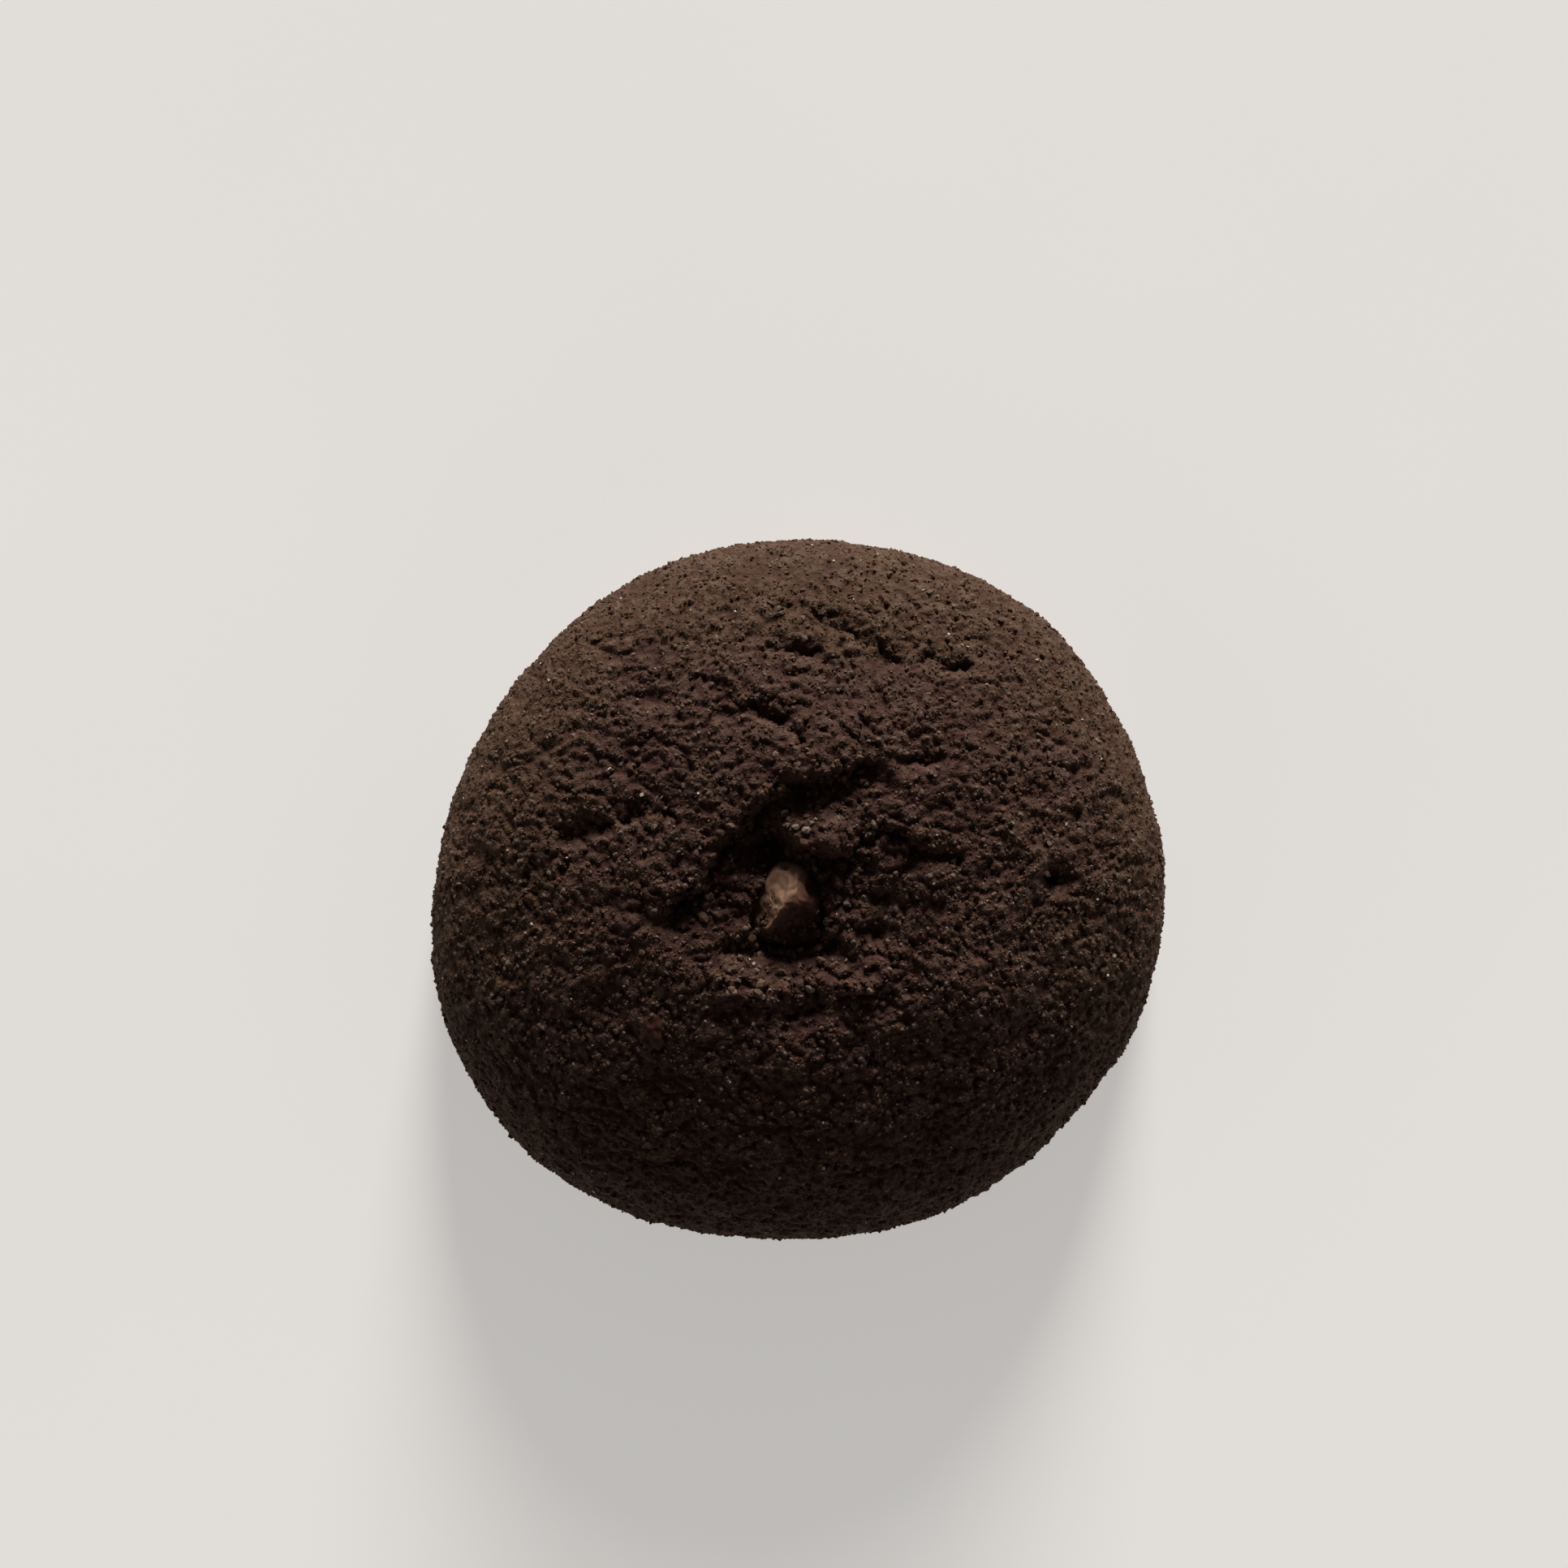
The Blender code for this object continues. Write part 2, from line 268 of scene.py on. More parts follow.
def sectionRings():  # rows of radius, z and the way the surface faces, at equal steps from crown to foot
    domeSteps, footSteps = dough["curveSteps"]
    turn = np.linspace(0.0, 0.5 * math.pi, domeSteps)
    share = np.sin(turn)
    top = dough["height"] - dough["widestZ"]
    upper = np.column_stack((
        dough["meanRadius"] * share,
        dough["widestZ"] + top * np.sqrt(1.0 - share ** dough["domePower"]),
    ))
    turn = np.linspace(0.0, 0.5 * math.pi, footSteps)[1:]
    lower = np.column_stack((
        dough["meanRadius"] - dough["undercut"] * (1.0 - np.cos(turn)),
        dough["widestZ"] * (1.0 - np.sin(turn)),
    ))
    curve = np.vstack((upper, lower))
    step = np.diff(curve, axis=0)
    length = np.concatenate(([0.0], np.cumsum(np.hypot(step[:, 0], step[:, 1]))))
    goals = np.linspace(0.0, length[-1], round(length[-1] / dough["edge"]) + 1)[1:]
    at = np.clip(np.searchsorted(length, goals) - 1, 0, len(step) - 1)
    along = step[at] / np.hypot(step[at, 0], step[at, 1])[:, None]
    radius = np.interp(goals, length, curve[:, 0])
    z = np.interp(goals, length, curve[:, 1])
    rings = np.column_stack((radius, z, -along[:, 1], along[:, 0]))
    foot = rings[-1, 0]
    steps = np.arange(1, int(foot / dough["footEdge"]))
    under = np.column_stack((
        foot - steps * dough["footEdge"],
        np.zeros(len(steps)),
        np.zeros(len(steps)),
        -np.ones(len(steps)),
    ))
    return np.vstack((rings, under))


def placeOnLine(x, y, points):  # distance in plan, positive on the line's left, and the share along it
    points = np.array(points)
    lengths = np.linalg.norm(np.diff(points, axis=0), axis=1)
    passed = np.concatenate(([0.0], np.cumsum(lengths)))
    best = np.full_like(x, np.inf)
    along = np.zeros_like(x)
    for (ax, ay), (bx, by), length, before in zip(points, points[1:], lengths, passed):
        dx, dy = bx - ax, by - ay
        share = np.clip(((x - ax) * dx + (y - ay) * dy) / length ** 2, 0.0, 1.0)
        awayX, awayY = x - ax - dx * share, y - ay - dy * share
        away = np.hypot(awayX, awayY)
        nearer = away < np.abs(best)
        best = np.where(nearer, np.copysign(away, dx * awayY - dy * awayX), best)
        along = np.where(nearer, (before + share * length) / passed[-1], along)
    return best, along


def fadeAlong(share):
    return smoothStep(0.0, dough["lineEnd"], share) * smoothStep(0.0, dough["lineEnd"], 1.0 - share)


def broadRelief(points):  # the relief that the solid has too, and how rough, torn and shaded each point is
    height = noiseLayers(points, dough["swells"])
    rough = np.zeros(len(points))
    torn = np.zeros(len(points))
    shade = np.zeros(len(points))
    x = points[:, 0] + dough["wander"] * noiseAt(points, dough["wanderLength"])
    y = points[:, 1] + dough["wander"] * noiseAt(points, dough["wanderLength"], dough["wanderStart"])
    for spotX, spotY, radius, rise in dough["spots"]:
        spot = np.exp(-((x - spotX) ** 2 + (y - spotY) ** 2) / radius ** 2)
        height += rise * spot
        if abs(rise) > dough["tornSpot"]:
            rough = np.maximum(rough, spot)

    ragged = dough["ragged"] * noiseLayers(points, dough["raggedNoise"])
    strength = patchy(points, *dough["splitPatches"])
    width = dough["splitWidth"] * patchy(points, *dough["widthPatches"])
    footAway, footWidth = dough["ledgeFoot"]
    shadeAway, shadeHalf = dough["ledgeShade"]
    tornAway, tornHalf = dough["ledgeTorn"]
    for drop, reach, line in dough["ledges"]:
        away, along = placeOnLine(x, y, line)
        ends = fadeAlong(along)
        face = away + ragged
        level = smoothStep(-dough["ledgeFace"], dough["ledgeFace"], face) - dough["lowShare"]
        height += drop * level * bell(away, reach) * ends
        foot = bell(face + footAway, footWidth * width) * ends
        torn = np.maximum(torn, foot * strength * min(1.0, drop))
        # painted shade on the low side of each ledge
        below = bell(face + shadeAway, shadeHalf) * ends
        shade = np.maximum(shade, below * min(1.0, drop / dough["shadeDrop"]))
        rough = np.maximum(rough, bell(face + tornAway, tornHalf) * ends)
    for half, rise, line in dough["creases"]:
        away, along = placeOnLine(x, y, line)
        ends = fadeAlong(along)
        height += rise * bell(away, half) * ends
        if rise > 0.0:
            rough = np.maximum(rough, bell(away, half) * ends)
        else:
            torn = np.maximum(torn, bell(away + ragged, width) * ends * strength)
    height += dough["roughHeight"] * noiseLayers(points, dough["roughNoise"]) * rough
    return height, rough, np.clip(torn, 0.0, 1.0), shade


def foldsAcross(points, furrow):  # creases drawn out along one direction
    turn = math.radians(furrow["turn"])
    drawn = np.column_stack((
        (points[:, 0] * math.cos(turn) + points[:, 1] * math.sin(turn)) / furrow["stretch"],
        points[:, 1] * math.cos(turn) - points[:, 0] * math.sin(turn),
        points[:, 2],
    ))
    return furrow["depth"] * bell(noiseAt(drawn, furrow["length"], furrow["start"]), furrow["half"])


def crumbRelief(points):  # clumps with creases between them, short clefts, pits and grains
    crumb = dough["crumb"]
    bend = np.column_stack([noiseAt(points, crumb["bendLength"], start) for start in crumb["bendStarts"]])
    near, border = cellsAt(points + crumb["clumpBend"] * bend, crumb["clumpSize"], crumb["clumpStart"])
    top, loss = crumb["clumpTop"]
    clump = np.clip(border * crumb["clumpSteep"], 0.0, 1.0) ** 0.5 * (top - loss * near)

    dent = np.zeros(len(points))
    bent = points + crumb["cleftBend"] * bend
    gate = noiseLayers(points, crumb["cleftPatches"])
    for length, half, depth, start in crumb["clefts"]:
        fold = noiseAt(bent, length, start)
        dent = np.maximum(dent, depth * bell(fold, half) * smoothStep(*crumb["cleftOpen"], gate))
        gate = -gate
    furrow = crumb["furrow"]
    patches = smoothStep(*furrow["open"], noiseAt(points, furrow["patchLength"], furrow["patchStart"]))
    dent = np.maximum(dent, foldsAcross(bent, furrow) * patches)
    for spacing, radius, depth in crumb["pits"]:
        middle, _ = cellsAt(points + crumb["pitBend"] * bend, spacing, crumb["pitStart"])
        pit = smoothStep(radius / spacing, crumb["pitFloor"] * radius / spacing, middle)
        dent = np.maximum(dent, depth * pit)

    grain = noiseAt(points, crumb["grainLength"], crumb["grainStart"])
    height = crumb["clumpHeight"] * (clump - crumb["clumpMean"])
    height += crumb["grainHeight"] * grain
    height -= dent
    # painted light on clump and grain tops, painted shade in the dents
    lit = crumb["paleMean"] + crumb["paleClump"] * (clump - 0.5)
    lit = lit + crumb["paleGrain"] * grain - crumb["dentShade"] * dent
    return height, np.clip(lit, 0.0, 1.0)


def stitchRings(counts):  # triangles between rings that may differ in their number of points
    starts = np.concatenate(([0], np.cumsum(counts)))
    faces = []
    for first, second, m, n in zip(starts, starts[1:], counts, counts[1:]):
        i = j = 0
        while i < m or j < n:
            a = first + i % m
            b = second + j % n
            if i >= m or (j < n and (j + 1) * m <= (i + 1) * n):
                j += 1
                faces.append((a, b, second + j % n))
            else:
                i += 1
                faces.append((a, b, first + i % m))
    return faces, starts


def smoothDough():  # rings of points on the smooth form, the way each faces, and how many a ring has
    rings = sectionRings()
    edges = np.where(rings[:, 1] > dough["footBelow"], dough["edge"], dough["footEdge"])
    counts = np.maximum(dough["ringLeast"], np.round(2.0 * math.pi * rings[:, 0] / edges)).astype(int)
    angle = np.concatenate([
        2.0 * math.pi * (np.arange(count) + 0.5 * (row % 2)) / count for row, count in enumerate(counts)
    ])
    radius, z, out, up = np.repeat(rings, counts, axis=0).T
    reach = radius / dough["meanRadius"] * outlineRadius(angle)
    smooth = np.column_stack((reach * np.cos(angle), reach * np.sin(angle), z))
    facing = np.column_stack((out * np.cos(angle), out * np.sin(angle), up))
    smooth = np.vstack((smooth, [[0.0, 0.0, dough["height"]]], [[0.0, 0.0, 0.0]]))
    facing = np.vstack((facing, [[0.0, 0.0, 1.0]], [[0.0, 0.0, -1.0]]))
    return smooth, facing, counts


def buildDough():  # verts in mm, faces, and the values that the material reads
    smooth, facing, counts = smoothDough()
    z = smooth[:, 2]
    broad, rough, torn, shade = broadRelief(smooth)
    fine, lit = crumbRelief(smooth)
    side = dough["sideShare"]
    share = side + (1.0 - side) * smoothStep(0.0, dough["sideSpan"], z - dough["widestZ"])
    share = share * smoothStep(0.0, dough["widestZ"], z)
    fineSide, fineAdded = dough["crumbShare"]
    fineShare = fineSide + fineAdded * smoothStep(*dough["crumbRise"], z)
    fineShare *= smoothStep(0.0, dough["crumbFoot"], z) * (1.0 + dough["crumbTorn"] * rough)
    verts = smooth + facing * ((broad - dough["splitDepth"] * torn) * share + fine * fineShare)[:, None]
    under = z < dough["flatBelow"]
    hollow = noiseLayers(smooth[under], dough["footNoise"])
    verts[under, 2] = dough["footPits"] * np.clip(hollow + dough["footShare"], 0.0, 1.0)

    faces, starts = stitchRings(counts)
    crown, middle = len(smooth) - 2, len(smooth) - 1
    last, total = starts[-2], counts[-1]
    faces += [(crown, k, (k + 1) % counts[0]) for k in range(counts[0])]
    faces += [(middle, last + (k + 1) % total, last + k) for k in range(total)]

    # painted shade: darker in cracks and below ledges
    lit = lit - dough["crackShade"] * torn - dough["darkShade"] * shade - dough["darkRough"] * rough
    # painted shade in the crater and hollows, by depth below the dome
    lit = lit - dough["hollowShade"] * smoothStep(*dough["deepFrom"], -broad)
    length, swing, start = dough["olivePatches"]
    # partly the crust's own olive tone, partly painted sheen towards the rim
    olive = 0.5 + (dough["oliveZ"] - z) / dough["oliveSpan"] + swing * noiseAt(smooth, length, start)
    values = {
        "lit": np.clip(lit, 0.0, 1.0),
        "loose": rough,
        "olive": np.clip(olive - dough["oliveTorn"] * rough, 0.0, 1.0),
    }
    return verts, np.array(faces), values


# the chunk of milk chocolate, and the pocket that it sits in

chunk = {
    "size": (7.0, 8.6, 5.4),
    "place": (-0.9, 1.5, 14.1),
    "turn": 4.0,                 # degrees, its longer way from +Y towards +X
    "lean": 8.0,
    "power": 2.7,                # 2 is round, more is squarer
    "planPower": 2.6,
    "taper": 0.16,
    "narrow": 0.26,              # share of its width lost towards +Y
    "uneven": 0.09,
    "unevenNoise": (0.625, (5.2, 1.3, 8.7)),
    "flats": (                   # way each broken side faces, how far from the middle, how pale it is
        (-0.40, 0.76, 0.51, 0.76, 1.10),
        (0.56, 0.64, 0.53, 0.84, 1.50),
        (-0.82, 0.20, 0.54, 0.76, 0.90),
        (0.20, -0.52, 0.83, 0.73, 0.70),
        (0.97, -0.05, 0.24, 0.90, -0.10),
    ),
    "soften": 0.055,
    "broken": 0.10,              # unevenness of the broken sides
    "brokenNoise": ((0.45, 1.0, 17.0), (0.2, 0.5, 19.0)),
    "tone": -0.40,               # of its baked skin, below zero is darker
    "palest": 0.88,
    "toneSoften": 0.10,          # how softly the pale sides pass into the skin
    "paintedLightWay": (-0.79, 0.61, 0.0),
    "paleFrom": (-0.05, 0.42),   # pale sides begin and are full this far from the middle, that way: painted light towards the lit upper-left
    "paleRagged": 0.08,
    "paleLeft": 0.30,            # share of their paleness that they have before that
    "paintedShadeSide": 0.34,            # painted shade: darker towards +X
    "darkFrom": (-0.25, 0.45),
    "paintedLightEnd": 0.34,             # painted light: paler towards its narrow end, on the lit +Y side
    "endFrom": (-0.3, 0.9),
    "endSlant": 0.6,
    "nicks": 0.15,               # mm
    "nickNoise": ((1.9, 1.0, 7.0), (0.8, 0.6, 2.0), (0.36, 0.3, 4.0)),
    "mottled": 0.32,
    "bare": 0.30,                # mm of it that at least stand out of the dough
    "pocketReach": 8.0,          # dough this near to its middle is fitted to it
    "pocketLowest": 8.0,
    "seamWidth": 0.38,
    "seamDepth": 0.35,
    # painted shade in the seam
    "seamShade": 0.5,
    "seamPatches": (0.6, 1.0, 1.6, 44.0, 0.0, 1.0),
    "seamFades": (-1.0, 3.0),    # the seam is half as strong towards -X
    "rows": 84,
    "columns": 140,
    "plainRows": 48,             # of the plain form that the pocket is pressed with
    "plainColumns": 80,
}


def ballForm(rows, columns):  # directions all round, and the triangles between them
    tilt = np.linspace(0.0, math.pi, rows + 1)[1:-1]
    angle = np.linspace(0.0, 2.0 * math.pi, columns, endpoint=False)
    tilt, angle = (grid.ravel() for grid in np.meshgrid(tilt, angle, indexing="ij"))
    way = np.column_stack((np.sin(tilt) * np.cos(angle), np.sin(tilt) * np.sin(angle), np.cos(tilt)))
    way = np.vstack((way, [[0.0, 0.0, 1.0]], [[0.0, 0.0, -1.0]]))
    faces = []
    for row in range(rows - 2):
        for k in range(columns):
            a, b = row * columns + k, row * columns + (k + 1) % columns
            faces += [(a, a + columns, b), (b, a + columns, b + columns)]
    top, bottom, last = len(way) - 2, len(way) - 1, (rows - 2) * columns
    faces += [(top, k, (k + 1) % columns) for k in range(columns)]
    faces += [(bottom, last + (k + 1) % columns, last + k) for k in range(columns)]
    return way, np.array(faces)


def buildChunk(rows, columns, fine):  # verts in mm, faces, and each point's tone: pale broken sides and baked skin, with painted light and shade
    way, faces = ballForm(rows, columns)
    plan = (np.abs(way[:, :2]) ** chunk["planPower"]).sum(1) ** (1.0 / chunk["planPower"])
    square = (plan ** chunk["power"] + np.abs(way[:, 2]) ** chunk["power"]) ** (-1.0 / chunk["power"])
    girth = square * (1.0 - chunk["taper"] * smoothStep(0.0, 1.0, way[:, 2]))
    length, start = chunk["unevenNoise"]
    uneven = 1.0 + chunk["uneven"] * noiseAt(way, length, np.array(start))
    width = girth * (1.0 - chunk["narrow"] * way[:, 1])
    form = np.column_stack((way[:, 0] * width, way[:, 1] * girth, way[:, 2] * square)) * uneven[:, None]
    rough = noiseLayers(way, chunk["brokenNoise"])
    pale = np.zeros(len(way))
    for *facing, distance, paleness in chunk["flats"]:
        beyond = form @ facing - distance - chunk["broken"] * fine * rough
        softened = np.sqrt(beyond ** 2 + chunk["soften"] ** 2)
        form -= np.outer(0.5 * (beyond + softened), facing)
        pale += paleness * 0.5 * (1.0 + beyond / np.hypot(beyond, chunk["toneSoften"]))

    # painted light: the pale broken sides keep all their paleness only towards the lit upper-left
    edge = smoothStep(*chunk["paleFrom"], form @ chunk["paintedLightWay"] + chunk["paleRagged"] * rough)
    left = chunk["paleLeft"]
    toneAndPaintedLight = chunk["tone"] + np.minimum(pale, chunk["palest"]) * (left + (1.0 - left) * edge)
    # painted light towards the +Y end, painted shade towards +X
    toneAndPaintedLight += chunk["paintedLightEnd"] * smoothStep(*chunk["endFrom"], form[:, 1] - chunk["endSlant"] * form[:, 0])
    toneAndPaintedLight -= chunk["paintedShadeSide"] * smoothStep(*chunk["darkFrom"], form[:, 0])

    verts = form * np.array(chunk["size"]) * 0.5
    nicks = noiseLayers(verts, chunk["nickNoise"])
    verts = verts + way * (chunk["nicks"] * fine * nicks)[:, None]
    lean = Matrix.Rotation(math.radians(chunk["lean"]), 3, "X")
    turn = Matrix.Rotation(math.radians(-chunk["turn"]), 3, "Z")
    verts = verts @ np.array(turn @ lean).T + np.array(chunk["place"])
    return verts, faces, toneAndPaintedLight + chunk["mottled"] * nicks


def pressPocket(verts, lit):  # dough over the chunk goes down under it, and gets painted shade where it meets it
    form, faces, _ = buildChunk(chunk["plainRows"], chunk["plainColumns"], fine=0.0)
    tree = BVHTree.FromPolygons(form.tolist(), faces.tolist())
    middleX, middleY, _ = chunk["place"]
    inReach = np.hypot(verts[:, 0] - middleX, verts[:, 1] - middleY) < chunk["pocketReach"]
    near = np.flatnonzero(inReach & (verts[:, 2] > chunk["pocketLowest"]))
    strength = patchy(verts[near], *chunk["seamPatches"])
    strength = strength * (1.0 - 0.5 * smoothStep(*chunk["seamFades"], middleX - verts[near, 0]))
    for i, share in zip(near, strength):
        x, y, z = verts[i]
        top, _ = dropOnto(tree, x, y)
        if top is not None:
            verts[i, 2] = min(z, top.z - chunk["bare"])
        away = tree.find_nearest(Vector((x, y, z)))[3]
        seam = share * math.exp(-(away / chunk["seamWidth"]) ** 2)
        verts[i, 2] -= chunk["seamDepth"] * seam
        # painted shade in the seam
        lit[i] = max(0.0, lit[i] - chunk["seamShade"] * seam)
    return verts, lit


# small chips of chocolate that show in the dough

chips = {
    "places": (                  # x, y, length, width, turn in degrees
        (-14.1, -10.4, 4.1, 2.4, 84.0),
        (-11.6, -23.4, 1.9, 1.1, 75.0),
        (-12.4, -25.6, 1.6, 1.0, 20.0),
    ),
    "height": 1.8,
    "showing": 0.38,             # stands this far out of the dough
    "probe": 0.8,                # the dough's slope is felt this far on each side
    "power": 2.2,
    "uneven": 0.36,
    "clouds": ((0.8, 1.0, 7.0), (0.33, 0.5, 5.0)),   # wavelength, weight, step from chip to chip
    "toneAndPaintedLight": -0.10,               # darker and redder than the large chunk: partly their own darker chocolate, partly painted shade
    "mottled": 0.4,
    "rows": 26,
    "columns": 40,
}


def buildChips(verts, faces):  # uneven lumps set in the dough, each lying along its surface
    tree = BVHTree.FromPolygons(verts.tolist(), faces.tolist())
    way, sides = ballForm(chips["rows"], chips["columns"])
    power, probe = chips["power"], chips["probe"]
    square = (np.abs(way) ** power).sum(1) ** (-1.0 / power)
    points, triangles, toneAndPaintedLight = [], [], []
    for number, (x, y, length, width, turn) in enumerate(chips["places"]):
        west, east, south, north = (
            dropOnto(tree, x + dx, y + dy)[0]
            for dx, dy in ((-probe, 0.0), (probe, 0.0), (0.0, -probe), (0.0, probe))
        )
        up = (east - west).cross(north - south).normalized()
        middle = (west + east + south + north) / 4.0 + up * (chips["showing"] - chips["height"] / 2.0)
        cloud = sum(weight * noiseAt(way + step * number, span) for span, weight, step in chips["clouds"])
        form = way * (square * (1.0 + chips["uneven"] * cloud))[:, None]
        form *= np.array((length, width, chips["height"])) * 0.5
        along = Vector((math.cos(math.radians(turn)), math.sin(math.radians(turn)), 0.0))
        across = up.cross(along).normalized()
        lie = np.array((across.cross(up), across, up))
        points.append(form @ lie + np.array(middle))
        triangles.append(sides + number * len(way))
        toneAndPaintedLight.append(chips["mottled"] * cloud + chips["toneAndPaintedLight"])
    return np.vstack(points), np.vstack(triangles), np.concatenate(toneAndPaintedLight)


# grains that lie on the dough and on the chunk: small, uneven, and sunk in by about half

grains = {
    "count": 9600,
    "size": (0.34, 0.66),        # mm, smallest and largest
    "sunk": 0.62,
    "lowest": 1.0,               # none below this height
    "seed": 11,
}
stuckCrumbs = {                  # on the lower flanks of the chunk
    "count": 90,
    "size": (0.22, 0.70),
    "sunk": 0.45,
    "lowest": 14.6,
    "seed": 5,
    "below": (16.0, 15.5),       # they begin and are thick at these heights
    "ahead": (2.5, -0.5),        # and at these places along Y
    "thick": 4.0,
}
looseCrumbs = {                  # in the torn dough round the chunk and along the cracks
    "count": 360,
    "size": (0.45, 1.10),
    "sunk": 0.50,
    "lowest": 10.0,
    "seed": 61,
    "thick": 3.0,                # how much they keep to the torn dough
    "elsewhere": -0.8,
}
paleGrains = {                   # the palest grains, by the knob and the deep hollow
    "places": (                  # x, y, length
        (-0.3, 9.5, 0.95),
        (0.7, 9.2, 1.05),
        (1.2, 9.9, 0.70),
        (-3.5, 5.2, 0.55),
        (-4.6, 4.4, 0.50),
        (0.1, 6.4, 0.60),
        (4.9, 7.0, 0.60),
        (4.6, 1.9, 0.90),
    ),
    "form": (0.5, 0.4, 0.4),     # half of its length, width and height, as shares of the length
    "dented": (0.75, 0.4),       # least reach of a corner, and what chance adds
    "showing": 0.6,              # share of each that stands out of the dough
    "seed": 71,
}
flecks = {
    "count": 22000,
    "size": (0.18, 0.36),
    "sunk": 0.50,
    "lowest": 1.0,
    "seed": 37,
}
sugar = {
    "count": 380,
    "size": (0.20, 0.42),
    "sunk": 0.40,
    "lowest": 1.6,
    "seed": 23,
}
anyGrain = {                     # holds for every kind
    "downwards": -0.5,           # none on faces that look further down than this
    "everywhere": 0.35,          # weight of the darkest dough, so that some lie there too
    "fewLarge": 1.8,
    "stretched": (0.60, 0.7),    # least, and what chance adds
    "dented": (0.72, 0.5),
}


def icosahedron():
    tall = (1.0 + 5.0 ** 0.5) / 2.0
    corners = [(-1, tall, 0), (1, tall, 0), (-1, -tall, 0), (1, -tall, 0), (0, -1, tall), (0, 1, tall),
               (0, -1, -tall), (0, 1, -tall), (tall, 0, -1), (tall, 0, 1), (-tall, 0, -1), (-tall, 0, 1)]
    sides = [(0, 11, 5), (0, 5, 1), (0, 1, 7), (0, 7, 10), (0, 10, 11), (1, 5, 9), (5, 11, 4), (11, 10, 2),
             (10, 7, 6), (7, 1, 8), (3, 9, 4), (3, 4, 2), (3, 2, 6), (3, 6, 8), (3, 8, 9), (4, 9, 5),
             (2, 4, 11), (6, 2, 10), (8, 6, 7), (9, 8, 1)]
    corners = np.array(corners, float)
    return corners / np.linalg.norm(corners[0]), np.array(sides)


def octahedron():
    corners = np.array([(1, 0, 0), (-1, 0, 0), (0, 1, 0), (0, -1, 0), (0, 0, 1), (0, 0, -1)], float)
    sides = [(0, 2, 4), (2, 1, 4), (1, 3, 4), (3, 0, 4), (2, 0, 5), (1, 2, 5), (3, 1, 5), (0, 3, 5)]
    return corners, np.array(sides)


def cube():
    halfEdge = 0.7
    corners = np.array([(x, y, z) for x in (-1, 1) for y in (-1, 1) for z in (-1, 1)], float) * halfEdge
    sides = [(0, 1, 3), (0, 3, 2), (4, 6, 7), (4, 7, 5), (0, 4, 5), (0, 5, 1),
             (2, 3, 7), (2, 7, 6), (0, 2, 6), (0, 6, 4), (1, 5, 7), (1, 7, 3)]
    return corners, np.array(sides)


def scatter(verts, faces, favour, kind, form):  # more grains where favour is high
    draw = np.random.default_rng(kind["seed"])
    count = kind["count"]
    corners = verts[faces]
    normals = np.cross(corners[:, 1] - corners[:, 0], corners[:, 2] - corners[:, 0])
    area = np.linalg.norm(normals, axis=1)
    normals /= np.maximum(area, tiny)[:, None]
    reached = (corners[:, :, 2].mean(1) > kind["lowest"]) & (normals[:, 2] > anyGrain["downwards"])
    weight = area * reached * np.maximum(0.0, anyGrain["everywhere"] + favour[faces].mean(1))
    chosen = draw.choice(len(faces), count, p=weight / weight.sum())
    a, b = np.sort(draw.random((2, count)), axis=0)
    shares = np.column_stack((a, b - a, 1.0 - b))
    spots = (corners[chosen] * shares[:, :, None]).sum(1)
    small, large = kind["size"]
    half = 0.5 * (small + (large - small) * draw.random(count) ** anyGrain["fewLarge"])
    spots += normals[chosen] * (half * (1.0 - 2.0 * kind["sunk"]))[:, None]
    base, sides = form
    turns, _ = np.linalg.qr(draw.normal(size=(count, 3, 3)))
    least, added = anyGrain["stretched"]
    stretch = half[:, None, None] * (least + added * draw.random((count, 1, 3)))
    least, added = anyGrain["dented"]
    dents = least + added * draw.random((count, len(base), 1))
    shaped = base[None] * dents * stretch
    shaped = shaped @ turns + spots[:, None, :]
    mirrored = np.linalg.det(turns) < 0.0
    triangles = sides[None] + (np.arange(count) * len(base))[:, None, None]
    triangles[mirrored] = triangles[mirrored][:, :, ::-1]
    tone = np.repeat(draw.random(count), len(base))
    return shaped.reshape(-1, 3), triangles.reshape(-1, 3), {"tone": tone}


def placeGrains(verts, faces, kind, form):  # grains at the places listed
    tree = BVHTree.FromPolygons(verts.tolist(), faces.tolist())
    draw = np.random.default_rng(kind["seed"])
    base, sides = form
    least, added = kind["dented"]
    points, triangles, tones = [], [], []
    for number, (x, y, length) in enumerate(kind["places"]):
        ground, up = dropOnto(tree, x, y)
        turn, _ = np.linalg.qr(draw.normal(size=(3, 3)))
        lump = (base * (least + added * draw.random((len(base), 1)))) @ (turn * np.sign(np.linalg.det(turn)))
        middle = ground + up * (length * (kind["showing"] - 0.5))
        points.append(lump * length * np.array(kind["form"]) + np.array(middle))
        triangles.append(sides + number * len(base))
        tones.append(np.full(len(base), draw.random()))
    return np.vstack(points), np.vstack(triangles), {"tone": np.concatenate(tones)}


# what the materials are made from; scales are turns to the metre, distances are metres

def newMaterial(name, look):
    material = bpy.data.materials.new(name)
    material.use_nodes = True
    shader = material.node_tree.nodes["Principled BSDF"]
    shader.inputs["Roughness"].default_value = look["roughness"]
    shader.inputs["Specular IOR Level"].default_value = look["specular"]
    return material, material.node_tree, shader


def addNode(tree, kind, **settings):
    node = tree.nodes.new(kind)
    for name, value in settings.items():
        setattr(node, name, value)
    return node


